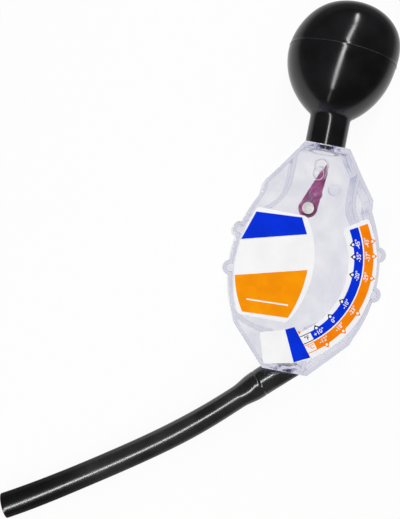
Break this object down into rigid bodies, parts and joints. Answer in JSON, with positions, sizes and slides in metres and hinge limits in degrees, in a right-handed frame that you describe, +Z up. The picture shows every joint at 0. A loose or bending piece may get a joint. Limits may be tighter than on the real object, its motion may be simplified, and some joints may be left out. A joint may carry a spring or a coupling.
{
  "type": "antifreeze hydrometer",
  "caption": "Coolant tester with a clear flat body, a weighted pointer over a curved temperature scale, a rubber squeeze bulb and a pick-up hose.",
  "frame": {"origin": "on the bench, under the middle of the body and bulb", "axes": "+X across the dial to its right, +Y from the hose end towards the bulb, +Z up from the bench"},
  "size_m": [0.1585, 0.2715, 0.0518],
  "materials": {
    "clear_plastic": "clear moulded plastic, polished inside, faint grain on the flanges",
    "pin_steel": "bright",
    "pointer_plastic": "tinted translucent plastic",
    "weight_metal": "dull grainy metal",
    "bulb_rubber": "smooth satin black",
    "hose_rubber": "smooth glossy black",
    "label_film": "printed white film",
    "scale_film": "printed film in blue, orange and white"
  },
  "bodies": {
    "body": {"front_shell": "clear_plastic", "rear_shell": "clear_plastic", "pivot_pin": "pin_steel", "bulb_base": "bulb_rubber", "pickup_hose": "hose_rubber", "main_label": "label_film", "scale_label": "scale_film"},
    "pointer": {"pointer": "pointer_plastic", "pointer_weight": "weight_metal"},
    "bulb_crown": {"bulb_crown": "bulb_rubber"}
  },
  "joints": [
    {"name": "pointer_swing", "type": "hinge", "parent": "body", "child": "pointer", "pos_m": [-0.001, 0.00103, 0.01967], "axis": [0, -0.0915, 0.9958], "range_deg": [-230, 55]},
    {"name": "bulb_squeeze", "type": "slide", "parent": "body", "child": "bulb_crown", "axis": [0, -0.9958, -0.0915], "range_m": [0, 0.012], "stiffness_N_per_m": 1000, "deforming": ["bulb_base"]}
  ]
}
